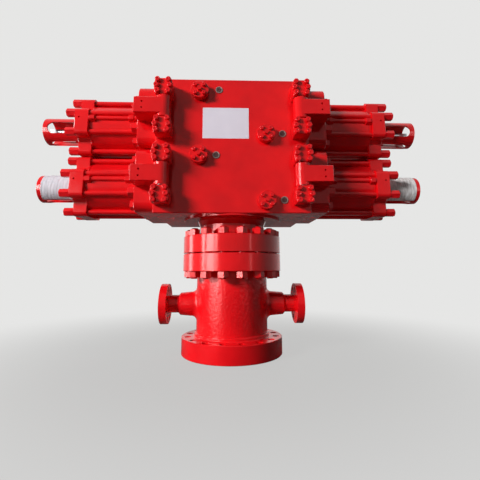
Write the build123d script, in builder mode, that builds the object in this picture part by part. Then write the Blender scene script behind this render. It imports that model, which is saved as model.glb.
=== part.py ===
from build123d import *
from math import asin, atan2, cos, degrees, hypot, radians, sin
import os

# Double ram blowout preventer, bolted down on a drilling spool.
# Millimetres. Origin on the bore's axis at the spool's bottom face, +Z up the bore,
# +X along the rams, and the hinged side with its ports faces -Y.

# Main bore and its 13-5/8 in, 5000 psi flanges
bore_radius = 173.05
flange_radius = 336.55
flange_thickness = 112.7
raised_face_radius = 228.5
raised_face = 3.0
bolt_circle_radius = 295.3
flange_hole_radius = 22.25
flange_bolts = 16
groove_radius = 201.3
groove_width = 19.96
groove_depth = 14.27
edge_break = 3.0

# Drilling spool
spool_height = 653.0
spool_body_radius = 240.5
hub_radius = 252.0
hub_height = 26.0
spool_fillet = 16.0

# Side outlets of the spool, 3-1/8 in, 5000 psi
outlet_level = 318.5
outlet_reach = 486.0
outlet_bore_radius = 39.7
outlet_flange_radius = 133.35
outlet_flange_thickness = 55.6
outlet_circle_radius = 101.6
outlet_hole_radius = 15.875
outlet_bolts = 8
outlet_neck_radius = 58.5
outlet_root_radius = 80.0
outlet_root_reach = 280.0
outlet_shoulder_radius = 74.0
outlet_shoulder_reach = 348.0
outlet_root_fillet = 34.0
outlet_raised_radius = 84.0
outlet_raised_face = 7.9
outlet_groove_radius = 74.2
outlet_groove_width = 11.9
outlet_groove_depth = 7.9

# Body: flanged neck and a block with two levels of ram cavities
neck_height = 120.3
neck_radius = 225.0
neck_flare_radius = 242.0
neck_flare_height = 34.0
boss_height = 12.0
block_side_overhang = 5.0
block_front_overhang = 3.45
block_height = 896.0
block_chamfer = 5.0
lower_level = 1117.5
ram_pitch = 433.0
cavity_half_width = 205.0
cavity_half_height = 100.0
tapped_hole_radius = 19.05
tapped_hole_depth = 90.0
relief_clearance = 6.0
relief_margin = 1.5

# Bolts that hold each bonnet on the block: two rows beside the cavity and two above and below it
side_bolt_reach = 262.0
side_bolt_rise = 72.0
end_bolt_reach = 200.0
end_bolt_rise = 152.0
bonnet_hole_radius = 17.5
bonnet_hole_depth = 70.0

# Hinges, one per bonnet: a pin between two bolted seats
pin_in_from_side = 58.0
pin_off_face = 54.0
pin_radius = 25.0
pin_clearance = 0.05
seat_width = 116.0
seat_end_width = 95.0
seat_height = 105.0
seat_thickness = 96.0
seat_gap = 5.5
seat_wall = 14.0
screw_radius = 14.5
screw_head = 20.0
screw_reach = 37.0
screw_side = 33.5
screw_middle_side = 41.0
barrel_radius = 47.0
barrel_height = 139.0
arm_height = 101.6
arm_length = 177.0
arm_clearance = 7.0
arm_edge = 3.0
arm_port_radius = 6.0
arm_port_distance = 127.0
arm_port_rise = 20.0
arm_port_depth = 30.0

# Bonnets, which close the ram cavities
seat_clearance = 0.4
bonnet_half_width = 305.0
bonnet_half_height = 210.0
bonnet_thickness = 129.6
bonnet_corner = 62.0
bonnet_edge = 4.0
seal_half_width = 262.0
seal_half_height = 114.0
seal_width = 10.0
seal_depth = 6.0

# Rams and their rods, drawn back out of the bore
ram_clearance = 5.0
ram_side_clearance = 15.0
ram_set_back = 5.0
ram_back_gap = 13.0
pipe_radius = 63.5
packer_reach = 60.0
packer_width = 16.0
packer_depth = 8.0
rod_radius = 45.0
rod_clearance = 0.3

# Hydraulic cylinders, each held by four pairs of tie rods under a cross-shaped head
cylinder_radius = 166.0
cylinder_length = 363.0
tie_rod_radius = 15.5
side_rod_reach = 176.0
side_rod_rise = 68.0
end_rod_reach = 93.0
end_rod_rise = 180.0
head_thickness = 90.0
head_core_radius = 172.0
head_lobe_radius = 30.0
head_edge = 3.0
gland_radius = 55.0
gland_height = 20.0

# Oil tube in front of each cylinder, and the port that meets it in the head
tube_radius = 12.5
tube_reach = 188.0
tube_rise = 26.0
oil_port_radius = 6.0
oil_port_inset = 28.0
oil_port_depth = 24.0

# Locking screws, turned by their square ends
screw_stem_radius = 22.0
screw_stem_clearance = 0.3
screw_stem_seat = 60.0
screw_stem_reach = 258.0
screw_square_width = 30.0
screw_square_length = 45.0

# Open guards round the locking screws
guard_radius = 97.0
guard_wall = 11.0
guard_length = 272.0
slot_width = 84.0
slot_end_band = 30.0
slot_root_band = 24.0

# Round covers on the front face, as (side, distance in from its hinge pins, height above each level)
cover_radius = 57.5
cover_thickness = 42.0
cover_edge = 2.5
cover_boss_radius = 14.0
cover_boss_height = 20.0
cover_places = [(-1, 221.0, 141.0), (1, 220.0, -150.0)]

# Port plugs, as (ram level from 0, side, distance in from its hinge pins, height above the level)
plug_radius = 23.5
plug_height = 5.0
plug_socket_width = 19.0
plug_socket_depth = 4.0
plug_places = [(0, -1, 329.0, 145.0), (0, 1, 109.0, -145.0), (1, -1, 345.0, 159.0), (1, 1, 111.0, -141.0)]

# How closely a corner or an edge is matched when it is picked by its place
pick = 1.0

# Places that follow from the sizes above
upper_level = lower_level + ram_pitch
levels = (lower_level, upper_level)
block_half_width = outlet_reach + block_side_overhang
block_half_depth = flange_radius + block_front_overhang
neck_bottom = spool_height
flange_top = neck_bottom + raised_face + flange_thickness
block_bottom = flange_top + neck_height
block_top = block_bottom + block_height
front_face = -block_half_depth
pin_x = block_half_width - pin_in_from_side
pin_y = front_face - pin_off_face
arm_reach = pin_x + arm_length
bonnet_inner = block_half_width + seat_clearance
bonnet_outer = bonnet_inner + bonnet_thickness
cylinder_end = bonnet_outer + cylinder_length
head_end = cylinder_end + head_thickness
ram_half_width = cavity_half_width - ram_side_clearance
ram_half_height = cavity_half_height - ram_clearance
ram_front = bore_radius + ram_set_back
ram_back = block_half_width - ram_back_gap

# Each ram swings out with its bonnet, so its far end sweeps an arc about the hinge pin
swing_radius = hypot(pin_x - ram_front, ram_half_width - pin_y)
relief_radius = swing_radius + relief_clearance - cavity_half_height
relief_start = degrees(atan2(ram_half_width - pin_y, pin_x - ram_front)) - relief_margin
relief_end = 90 + degrees(asin(pin_in_from_side / (relief_radius - cavity_half_height))) + relief_margin

doors = {
    "upper_left": (-1, upper_level),
    "upper_right": (1, upper_level),
    "lower_left": (-1, lower_level),
    "lower_right": (1, lower_level),
}


def across(side, distance, level):
    """Plane square to the rams: its normal points away from the bore, its y axis up."""
    return Plane(origin=(side * distance, 0, level), x_dir=(0, side, 0), z_dir=(side, 0, 0))


def on_front(x, y, z):
    """Plane parallel to the front face, its normal towards the front, its y axis up."""
    return Plane(origin=(x, y, z), x_dir=(1, 0, 0), z_dir=(0, -1, 0))


def at_radius(corners, radius):
    """Those corners of a profile that lie at this distance from its axis."""
    return corners.filter_by_position(Axis.X, radius - pick, radius + pick)


def save(piece, name):
    """Name a finished piece and write it to its own file."""
    piece.part.label = name
    export_step(piece.part, f"parts/{name}.step")


os.makedirs("parts", exist_ok=True)

# Spool: one forging with two main flanges and two side outlets
with BuildPart() as spool:
    waist_bottom = flange_thickness + hub_height
    waist_top = spool_height - raised_face - flange_thickness
    with BuildSketch(Plane.YZ) as spool_half:
        with BuildLine():
            Polyline(
                (0, 0),
                (raised_face_radius, 0),
                (raised_face_radius, raised_face),
                (flange_radius, raised_face),
                (flange_radius, flange_thickness),
                (hub_radius, flange_thickness),
                (hub_radius, waist_bottom),
                (spool_body_radius, waist_bottom),
                (spool_body_radius, waist_top),
                (flange_radius, waist_top),
                (flange_radius, spool_height - raised_face),
                (raised_face_radius, spool_height - raised_face),
                (raised_face_radius, spool_height),
                (0, spool_height),
                close=True,
            )
        make_face()
        corners = spool_half.vertices()
        chamfer(at_radius(corners, flange_radius), edge_break)
        fillet(at_radius(corners, hub_radius), min(spool_fillet / 2, hub_height / 3))
        fillet(at_radius(corners, spool_body_radius).sort_by(Axis.Y)[-1], spool_fillet)
    revolve(axis=Axis.Z)
    for side in (-1, 1):
        flange_back = side * (outlet_reach - outlet_flange_thickness)
        flange_face = side * (outlet_reach - outlet_raised_face)
        with BuildSketch(Plane.XZ.shift_origin((0, 0, outlet_level))):
            with BuildLine():
                Polyline(
                    (0, 0),
                    (0, outlet_root_radius),
                    (side * outlet_root_reach, outlet_root_radius),
                    (side * outlet_shoulder_reach, outlet_shoulder_radius),
                    (side * (outlet_shoulder_reach + outlet_neck_radius / 4), outlet_neck_radius),
                    (flange_back, outlet_neck_radius),
                    (flange_back, outlet_flange_radius),
                    (flange_face, outlet_flange_radius),
                    (flange_face, outlet_raised_radius),
                    (side * outlet_reach, outlet_raised_radius),
                    (side * outlet_reach, 0),
                    close=True,
                )
            make_face()
        revolve(axis=Axis((0, 0, outlet_level), (1, 0, 0)))
    junctions = spool.edges().filter_by(GeomType.BSPLINE)
    fillet(junctions, outlet_root_fillet)
    with Locations((0, 0, spool_height)):
        Hole(bore_radius)
    for side in (-1, 1):
        with BuildSketch(across(side, 0, outlet_level)):
            Circle(outlet_bore_radius)
        extrude(amount=outlet_reach, mode=Mode.SUBTRACT)
        with BuildSketch(across(side, outlet_reach, outlet_level)):
            Circle(outlet_groove_radius)
            Circle(outlet_groove_radius - outlet_groove_width, mode=Mode.SUBTRACT)
        extrude(amount=-outlet_groove_depth, mode=Mode.SUBTRACT)
        with BuildSketch(across(side, outlet_reach, outlet_level)):
            with PolarLocations(outlet_circle_radius, outlet_bolts, start_angle=180 / outlet_bolts):
                Circle(outlet_hole_radius)
        extrude(amount=-outlet_flange_thickness, mode=Mode.SUBTRACT)
    with BuildSketch(Plane.XY):
        Circle(groove_radius)
        Circle(groove_radius - groove_width, mode=Mode.SUBTRACT)
    extrude(amount=groove_depth, mode=Mode.SUBTRACT)
    with BuildSketch(Plane.XY):
        with PolarLocations(bolt_circle_radius, flange_bolts, start_angle=180 / flange_bolts):
            Circle(flange_hole_radius)
    extrude(amount=flange_thickness, mode=Mode.SUBTRACT)
save(spool, "spool")

# Body: block, flared neck and flange in one piece
with BuildPart() as body:
    with BuildSketch(Plane.XY.offset(block_bottom)):
        Rectangle(2 * block_half_width, 2 * block_half_depth)
    extrude(amount=block_height)
    chamfer(body.edges(), block_chamfer)
    flange_bottom = neck_bottom + raised_face
    flare_bottom = block_bottom - boss_height - neck_flare_height
    with BuildSketch(Plane.XZ) as neck_half:
        with BuildLine():
            Polyline(
                (0, neck_bottom),
                (raised_face_radius, neck_bottom),
                (raised_face_radius, flange_bottom),
                (flange_radius, flange_bottom),
                (flange_radius, flange_top),
                (neck_radius, flange_top),
                (neck_radius, flare_bottom),
                (neck_flare_radius, block_bottom - boss_height),
                (flange_radius, block_bottom - boss_height),
                (flange_radius, block_bottom + block_chamfer),
                (0, block_bottom + block_chamfer),
                close=True,
            )
        make_face()
        rims = at_radius(neck_half.vertices(), flange_radius).sort_by(Axis.Y)[:-1]
        chamfer(rims, edge_break)
    revolve(axis=Axis.Z)
    with Locations((0, 0, block_top)):
        Hole(bore_radius)
    for level in levels:
        with BuildSketch(across(1, -block_half_width, level)):
            SlotOverall(2 * cavity_half_width, 2 * cavity_half_height)
        extrude(amount=2 * block_half_width, mode=Mode.SUBTRACT)
    for side, level in doors.values():
        turn = radians(relief_start)
        outward = Vector(-side * cos(turn), sin(turn), 0)
        relief_plane = Plane(
            origin=(side * pin_x, pin_y, level), x_dir=outward, z_dir=outward.cross(Vector(0, 0, 1))
        )
        with BuildSketch(relief_plane):
            with Locations((relief_radius, 0)):
                Circle(cavity_half_height)
        revolve(
            axis=Axis((side * pin_x, pin_y, level), (0, 0, -side)),
            revolution_arc=relief_end - relief_start,
            mode=Mode.SUBTRACT,
        )
        with BuildSketch(across(side, block_half_width, level)):
            with GridLocations(2 * side_bolt_reach, 2 * side_bolt_rise, 2, 2):
                Circle(bonnet_hole_radius)
            with GridLocations(2 * end_bolt_reach, 2 * end_bolt_rise, 2, 2):
                Circle(bonnet_hole_radius)
        extrude(amount=-bonnet_hole_depth, mode=Mode.SUBTRACT)
    with BuildSketch(Plane.XY.offset(block_top)):
        Circle(groove_radius)
        Circle(groove_radius - groove_width, mode=Mode.SUBTRACT)
    extrude(amount=-groove_depth, mode=Mode.SUBTRACT)
    with BuildSketch(Plane.XY.offset(block_top)):
        with PolarLocations(bolt_circle_radius, flange_bolts, start_angle=180 / flange_bolts):
            Circle(tapped_hole_radius)
    extrude(amount=-tapped_hole_depth, mode=Mode.SUBTRACT)
save(body, "body_block")

# Hinge seats: two to a bonnet, bolted on the front face, with the pin's blind holes
with BuildPart() as seats:
    seat_rise = barrel_height / 2 + seat_gap + seat_height / 2
    half, flat, tall = seat_width / 2, seat_end_width / 2, seat_height / 2
    for side, level in doors.values():
        for end in (-1, 1):
            seat_plane = on_front(side * pin_x, front_face, level + end * seat_rise)
            with BuildSketch(seat_plane):
                with BuildLine():
                    Line((-flat, -tall), (flat, -tall))
                    ThreePointArc((flat, -tall), (half, 0), (flat, tall))
                    Line((flat, tall), (-flat, tall))
                    ThreePointArc((-flat, tall), (-half, 0), (-flat, -tall))
                make_face()
            extrude(amount=seat_thickness)
            with BuildSketch(seat_plane.offset(seat_thickness)):
                with GridLocations(2 * screw_side, 2 * screw_reach, 2, 2):
                    Circle(screw_radius)
                with GridLocations(2 * screw_middle_side, 0, 2, 1):
                    Circle(screw_radius)
            extrude(amount=screw_head)
            pin_mouth = Plane(
                origin=(side * pin_x, pin_y, level + end * (seat_rise - seat_height / 2)),
                z_dir=(0, 0, end),
            )
            with BuildSketch(pin_mouth):
                Circle(pin_radius + pin_clearance)
            extrude(amount=seat_height - seat_wall, mode=Mode.SUBTRACT)
save(seats, "hinge_seats")

# Hinge pins, held in the seats and running through the arms
with BuildPart() as pins:
    pin_half = barrel_height / 2 + seat_gap + seat_height - seat_wall
    for side, level in doors.values():
        with BuildSketch(Plane(origin=(side * pin_x, pin_y, level - pin_half))):
            Circle(pin_radius)
        extrude(amount=2 * pin_half)
save(pins, "hinge_pins")

# Round covers with a centre boss on the front face
with BuildPart() as covers:
    cover_centres = []
    for level in levels:
        for side, inward, rise in cover_places:
            cover_centres.append((side * (pin_x - inward), level + rise))
    with BuildSketch(on_front(0, front_face, 0)):
        with Locations(*cover_centres):
            Circle(cover_radius)
    extrude(amount=cover_thickness)
    chamfer(covers.edges().group_by(Axis.Y)[0], cover_edge)
    with BuildSketch(on_front(0, front_face - cover_thickness, 0)):
        with Locations(*cover_centres):
            Circle(cover_boss_radius)
    extrude(amount=cover_boss_height)
save(covers, "front_covers")

# Port plugs on the front face
with BuildPart() as plugs:
    plug_centres = []
    for index, side, inward, rise in plug_places:
        plug_centres.append((side * (pin_x - inward), levels[index] + rise))
    with BuildSketch(on_front(0, front_face, 0)):
        with Locations(*plug_centres):
            Circle(plug_radius)
    extrude(amount=plug_height)
    with BuildSketch(on_front(0, front_face - plug_height, 0)):
        with Locations(*plug_centres):
            RegularPolygon(plug_socket_width / 2, 6)
    extrude(amount=-plug_socket_depth, mode=Mode.SUBTRACT)
save(plugs, "port_plugs")

# Pieces that swing with each bonnet
for name, (side, level) in doors.items():
    with BuildPart() as bonnet:
        with BuildSketch(across(side, bonnet_inner, level)):
            RectangleRounded(2 * bonnet_half_width, 2 * bonnet_half_height, bonnet_corner)
        extrude(amount=bonnet_thickness)
        chamfer(bonnet.faces().sort_by(Axis.X)[-1 if side > 0 else 0].edges(), bonnet_edge)
        with BuildSketch(across(side, bonnet_inner, level)):
            Circle(rod_radius + rod_clearance)
        extrude(amount=bonnet_thickness, mode=Mode.SUBTRACT)
        with BuildSketch(across(side, bonnet_inner, level)):
            SlotOverall(2 * seal_half_width, 2 * seal_half_height)
            SlotOverall(
                2 * (seal_half_width - seal_width),
                2 * (seal_half_height - seal_width),
                mode=Mode.SUBTRACT,
            )
        extrude(amount=seal_depth, mode=Mode.SUBTRACT)
    save(bonnet, f"{name}_bonnet")

    with BuildPart() as arm:
        arm_front = pin_y - barrel_radius
        with BuildSketch(Plane.XY.offset(level - arm_height / 2)):
            with BuildLine():
                Polyline(
                    (side * pin_x, arm_front),
                    (side * arm_reach, arm_front),
                    (side * arm_reach, -bonnet_half_width),
                    (side * bonnet_inner, -bonnet_half_width),
                    (side * bonnet_inner, front_face - arm_clearance),
                    (side * pin_x, front_face - arm_clearance),
                    close=True,
                )
            make_face()
        extrude(amount=arm_height)
        chamfer(arm.faces().sort_by(Axis.Y)[0].edges(), arm_edge)
        with BuildSketch(Plane(origin=(side * pin_x, pin_y, level - barrel_height / 2))):
            Circle(barrel_radius)
        extrude(amount=barrel_height)
        with BuildSketch(Plane(origin=(side * pin_x, pin_y, level - barrel_height / 2))):
            Circle(pin_radius + pin_clearance)
        extrude(amount=barrel_height, mode=Mode.SUBTRACT)
        with BuildSketch(on_front(side * (pin_x + arm_port_distance), arm_front, level)):
            with GridLocations(0, 2 * arm_port_rise, 1, 2):
                Circle(arm_port_radius)
        extrude(amount=-arm_port_depth, mode=Mode.SUBTRACT)
    save(arm, f"{name}_hinge_arm")

    with BuildPart() as cylinder:
        with BuildSketch(across(side, bonnet_outer, level)):
            Circle(cylinder_radius)
        extrude(amount=cylinder_length)
    save(cylinder, f"{name}_cylinder")

    with BuildPart() as rods:
        with BuildSketch(across(side, bonnet_outer, level)):
            with GridLocations(2 * side_rod_reach, 2 * side_rod_rise, 2, 2):
                Circle(tie_rod_radius)
            with GridLocations(2 * end_rod_reach, 2 * end_rod_rise, 2, 2):
                Circle(tie_rod_radius)
        extrude(amount=cylinder_length)
    save(rods, f"{name}_tie_rods")

    with BuildPart() as tube:
        with BuildSketch(across(side, bonnet_outer, level)):
            with Locations((-side * tube_reach, tube_rise)):
                Circle(tube_radius)
        extrude(amount=cylinder_length)
    save(tube, f"{name}_oil_tube")

    with BuildPart() as head:
        head_front = -side_rod_reach - head_lobe_radius
        with BuildSketch(across(side, cylinder_end, level)):
            Circle(head_core_radius)
            RectangleRounded(
                2 * (side_rod_reach + head_lobe_radius),
                2 * (side_rod_rise + head_lobe_radius),
                head_lobe_radius,
            )
            RectangleRounded(
                2 * (end_rod_reach + head_lobe_radius),
                2 * (end_rod_rise + head_lobe_radius),
                head_lobe_radius,
            )
        extrude(amount=head_thickness)
        chamfer(head.faces().sort_by(Axis.X)[-1 if side > 0 else 0].edges(), head_edge)
        with BuildSketch(across(side, head_end, level)):
            Circle(gland_radius)
        extrude(amount=gland_height)
        with BuildSketch(across(side, head_end - screw_stem_seat, level)):
            Circle(screw_stem_radius + screw_stem_clearance)
        extrude(amount=screw_stem_seat + gland_height, mode=Mode.SUBTRACT)
        with BuildSketch(on_front(side * (head_end - oil_port_inset), head_front, level + tube_rise)):
            Circle(oil_port_radius)
        extrude(amount=-oil_port_depth, mode=Mode.SUBTRACT)
    save(head, f"{name}_cylinder_head")

    with BuildPart() as stem:
        with BuildSketch(across(side, head_end - screw_stem_seat, level)):
            Circle(screw_stem_radius)
        extrude(amount=screw_stem_seat + screw_stem_reach - screw_square_length)
        with BuildSketch(across(side, head_end + screw_stem_reach - screw_square_length, level)):
            Rectangle(screw_square_width, screw_square_width)
        extrude(amount=screw_square_length)
    save(stem, f"{name}_locking_screw")

    with BuildPart() as guard:
        with BuildSketch(across(side, head_end, level)):
            Circle(guard_radius)
            Circle(guard_radius - guard_wall, mode=Mode.SUBTRACT)
        extrude(amount=guard_length)
        slot_length = guard_length - slot_end_band - slot_root_band
        slot_middle = side * (head_end + slot_root_band + slot_length / 2)
        with BuildSketch(on_front(slot_middle, guard_radius, level)):
            SlotOverall(slot_length, slot_width)
        extrude(amount=2 * guard_radius, mode=Mode.SUBTRACT)
        with BuildSketch(Plane(origin=(slot_middle, 0, level - guard_radius))):
            SlotOverall(slot_length, slot_width)
        extrude(amount=guard_radius, mode=Mode.SUBTRACT)
    save(guard, f"{name}_lock_guard")

    with BuildPart() as ram:
        with BuildSketch(across(side, ram_front, level)):
            SlotOverall(2 * ram_half_width, 2 * ram_half_height)
        extrude(amount=ram_back - ram_front)
        if level == lower_level:
            with BuildSketch(Plane(origin=(side * ram_front, 0, level - ram_half_height))):
                Circle(pipe_radius)
            extrude(amount=2 * ram_half_height, mode=Mode.SUBTRACT)
        with BuildSketch(across(side, ram_front + packer_reach, level)):
            SlotOverall(2 * ram_half_width, 2 * ram_half_height)
            SlotOverall(
                2 * (ram_half_width - packer_depth),
                2 * (ram_half_height - packer_depth),
                mode=Mode.SUBTRACT,
            )
        extrude(amount=packer_width, mode=Mode.SUBTRACT)
    save(ram, f"{name}_ram")

    with BuildPart() as rod:
        with BuildSketch(across(side, ram_back, level)):
            Circle(rod_radius)
        extrude(amount=bonnet_outer - rod_clearance - ram_back)
    save(rod, f"{name}_ram_rod")
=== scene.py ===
"""Looks of a double ram blowout preventer on its drilling spool.

Sizes in the classes are millimetres in the part's own frame: +Z up the bore,
+X along the rams, and the hinged front side faces -Y.
"""

import logging
import math
import random
from dataclasses import dataclass, replace
from enum import Enum, IntEnum

import bmesh
import bpy
from mathutils import Matrix, Vector


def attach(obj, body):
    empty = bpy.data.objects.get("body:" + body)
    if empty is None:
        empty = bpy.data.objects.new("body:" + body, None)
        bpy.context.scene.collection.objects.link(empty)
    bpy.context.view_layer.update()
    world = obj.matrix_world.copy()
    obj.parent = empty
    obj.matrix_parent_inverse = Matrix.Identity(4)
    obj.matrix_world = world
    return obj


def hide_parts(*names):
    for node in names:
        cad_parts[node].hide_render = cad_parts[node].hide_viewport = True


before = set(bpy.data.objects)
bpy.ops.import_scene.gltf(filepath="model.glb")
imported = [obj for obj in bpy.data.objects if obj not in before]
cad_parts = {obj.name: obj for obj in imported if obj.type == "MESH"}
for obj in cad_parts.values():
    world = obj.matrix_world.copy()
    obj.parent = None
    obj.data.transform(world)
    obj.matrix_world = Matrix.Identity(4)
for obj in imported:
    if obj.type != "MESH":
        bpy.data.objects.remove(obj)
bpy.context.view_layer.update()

MM = 0.001
REPORT = logging.getLogger("preventer")
FRAME_BODY = "frame"
BACKDROP = "#e6e6e5"

# Heights of the two rows of rams, and the block's front face with the way that it looks.
UPPER_LEVEL = 1550.5
LOWER_LEVEL = 1117.5
FRONT_FACE = -340.0
FRONT = (0.0, -1.0, 0.0)

# A hexagon's turn from one side to the next, and a thread's depth as a share of its pitch.
HEX_TURN = 60.0
THREAD_DEPTH = 0.55

# Edges shade as sharp past the first angle and are rounded off past the second.
SHARP_ANGLE = math.radians(32)
RIM_ANGLE = math.radians(60)
MERGE_DISTANCE = 1e-4

# Blender's soft noise mostly lies between these two values.
NOISE_SPAN = {"From Min": 0.3, "From Max": 0.7}

Form = bmesh.types.BMesh
Tree = bpy.types.NodeTree
Socket = bpy.types.NodeSocket
Spot = tuple[float, float]
Place = tuple[float, float, float]


class Outline(Enum):
    """How one ring of a turned profile runs round its axis."""

    ROUND = 0
    HEX = 1


class Side(IntEnum):
    """End of the rams at which a door hangs, as its sign along x."""

    LEFT = -1
    RIGHT = 1


class Slot(Enum):
    """Material slots of the record that new pieces belong to."""

    RED = "red_paint"
    RAM = "ram_steel"
    PLUG = "plug_metal"


class LampRole(Enum):
    """What a lamp does: it lights the surfaces, or it is only mirrored in their gloss."""

    LIGHT = "light"
    PANE = "pane"


Ring = tuple[float, float, Outline]


def linear(code: str) -> tuple[float, float, float, float]:
    """Turn an sRGB hex value into linear red, green, blue and alpha.

    Args:
        code: six hex digits after a hash.

    Returns:
        Four numbers for a colour socket.
    """
    channels = [int(code[i:i + 2], 16) / 255 for i in (1, 3, 5)]
    values = [c / 12.92 if c <= 0.04045 else ((c + 0.055) / 1.055) ** 2.4 for c in channels]
    return (values[0], values[1], values[2], 1.0)


def add(tree: Tree, kind: str, inputs: dict[str | int, object] | None = None,
        **settings: object) -> bpy.types.Node:
    """Add one node to a tree.

    Args:
        tree: node tree that gets the node.
        kind: Blender's name of the node type.
        inputs: socket name or number, with a value or another node's output.
        **settings: properties of the node itself.

    Returns:
        The new node.
    """
    node = tree.nodes.new(kind)
    for name, value in settings.items():
        setattr(node, name, value)
    for name, value in (inputs or {}).items():
        if isinstance(value, bpy.types.NodeSocket):
            tree.links.new(value, node.inputs[name])
        else:
            node.inputs[name].default_value = value
    return node


@dataclass(frozen=True)
class Pattern:
    """Soft noise that a finish follows.

    Its spots are size millimetres wide and carry detail finer layers. A squeeze
    below 1 draws them out across the rams' axis, round a bar or a guard.
    """

    size: float
    detail: float = 2.0
    squeeze: float = 1.0


@dataclass(frozen=True)
class Finish:
    """A surface whose colour, gloss and relief each follow a pattern.

    The colour runs from colour towards second along the clouds, as far as most.
    The roughness runs from roughness to rough_end along the smears, and is even
    without them. The grain stands up by depth millimetres, of which the share is kept.
    """

    name: str
    colour: str
    second: str
    clouds: Pattern
    roughness: float
    rough_end: float = 0.0
    smears: Pattern | None = None
    grain: Pattern | None = None
    depth: float = 0.0
    share: float = 0.6
    most: float = 1.0
    metallic: float = 0.0
    shine: float = 0.5
    sheen: str = "#ffffff"

    def material(self) -> bpy.types.Material:
        """Return the material of this name, made on its first use.

        Returns:
            The material, with its patterns on object coordinates.
        """
        found = bpy.data.materials.get(self.name)
        if found:
            return found
        made = bpy.data.materials.new(self.name)
        made.use_nodes = True
        tree = made.node_tree
        tree.nodes.clear()
        place = add(tree, "ShaderNodeTexCoord").outputs["Object"]
        shader = add(tree, "ShaderNodeBsdfPrincipled", self.sockets(tree, place))
        add(tree, "ShaderNodeOutputMaterial", {"Surface": self.surface(tree, shader, place)})
        return made

    def sockets(self, tree: Tree, place: Socket) -> dict[str, object]:
        """Make the patterns and say what goes into the shader.

        Args:
            tree: the material's node tree.
            place: object coordinates in metres.

        Returns:
            Values and other nodes' outputs by the name of the shader's socket.
        """
        heights = {}
        for pattern in dict.fromkeys((self.clouds, self.smears, self.grain)):
            if pattern is None:
                continue
            where = place
            if pattern.squeeze != 1.0:
                pulled = {"Vector": place, "Scale": (1.0, pattern.squeeze, pattern.squeeze)}
                where = add(tree, "ShaderNodeMapping", pulled).outputs["Vector"]
            spots = {"Vector": where, "Scale": 1 / (pattern.size * MM), "Detail": pattern.detail}
            heights[pattern] = add(tree, "ShaderNodeTexNoise", spots).outputs["Fac"]
        cloud = {"Value": heights[self.clouds], "To Max": self.most}
        factor = add(tree, "ShaderNodeMapRange", {**NOISE_SPAN, **cloud}).outputs["Result"]
        ends = {6: linear(self.colour), 7: linear(self.second)}
        colour = add(tree, "ShaderNodeMix", {0: factor, **ends}, data_type="RGBA").outputs[2]
        found = {"Base Color": colour, "Roughness": self.roughness, "Metallic": self.metallic,
                 "Specular IOR Level": self.shine, "Specular Tint": linear(self.sheen)}
        if self.smears:
            smear = {"Value": heights[self.smears], "To Min": self.roughness, "To Max": self.rough_end}
            gloss = add(tree, "ShaderNodeMapRange", {**NOISE_SPAN, **smear})
            found["Roughness"] = gloss.outputs["Result"]
        if self.grain:
            relief = {"Height": heights[self.grain], "Distance": self.depth * MM, "Strength": self.share}
            found["Normal"] = add(tree, "ShaderNodeBump", relief).outputs["Normal"]
        return found

    def surface(self, tree: Tree, shader: bpy.types.Node, place: Socket) -> Socket:
        """Return the surface: here the shader alone."""
        return shader.outputs["BSDF"]


@dataclass(frozen=True)
class ForgedFinish(Finish):
    """A finish over a forging: rough skin on its waist, smooth where a tool has turned it.

    The skin lies between two heights and within a reach along x.
    """

    skin: Pattern = Pattern(16.0, 5.0)
    skin_depth: float = 5.0
    skin_share: float = 0.55
    skin_low: float = 118.0
    skin_high: float = 534.0
    skin_reach: float = 405.0

    def sockets(self, tree: Tree, place: Socket) -> dict[str, object]:
        """Add the forging's skin under the film.

        Args:
            tree: the material's node tree.
            place: object coordinates in metres.

        Returns:
            Values and other nodes' outputs by the name of the shader's socket.
        """
        found = super().sockets(tree, place)
        spots = {"Scale": 1 / (self.skin.size * MM), "Detail": self.skin.detail}
        height = add(tree, "ShaderNodeTexNoise", {"Vector": place, **spots}).outputs["Fac"]
        split = add(tree, "ShaderNodeSeparateXYZ", {"Vector": place}).outputs
        aside = add(tree, "ShaderNodeMath", {0: split["X"]}, operation="ABSOLUTE").outputs[0]
        limits = (
            ("GREATER_THAN", split["Z"], self.skin_low),
            ("LESS_THAN", split["Z"], self.skin_high),
            ("LESS_THAN", aside, self.skin_reach),
        )
        for test, value, limit in limits:
            inside = add(tree, "ShaderNodeMath", {0: value, 1: limit * MM}, operation=test).outputs[0]
            height = add(tree, "ShaderNodeMath", {0: height, 1: inside}, operation="MULTIPLY").outputs[0]
        relief = {"Height": height, "Distance": self.skin_depth * MM, "Strength": self.skin_share,
                  "Normal": found["Normal"]}
        found["Normal"] = add(tree, "ShaderNodeBump", relief).outputs["Normal"]
        return found


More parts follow.
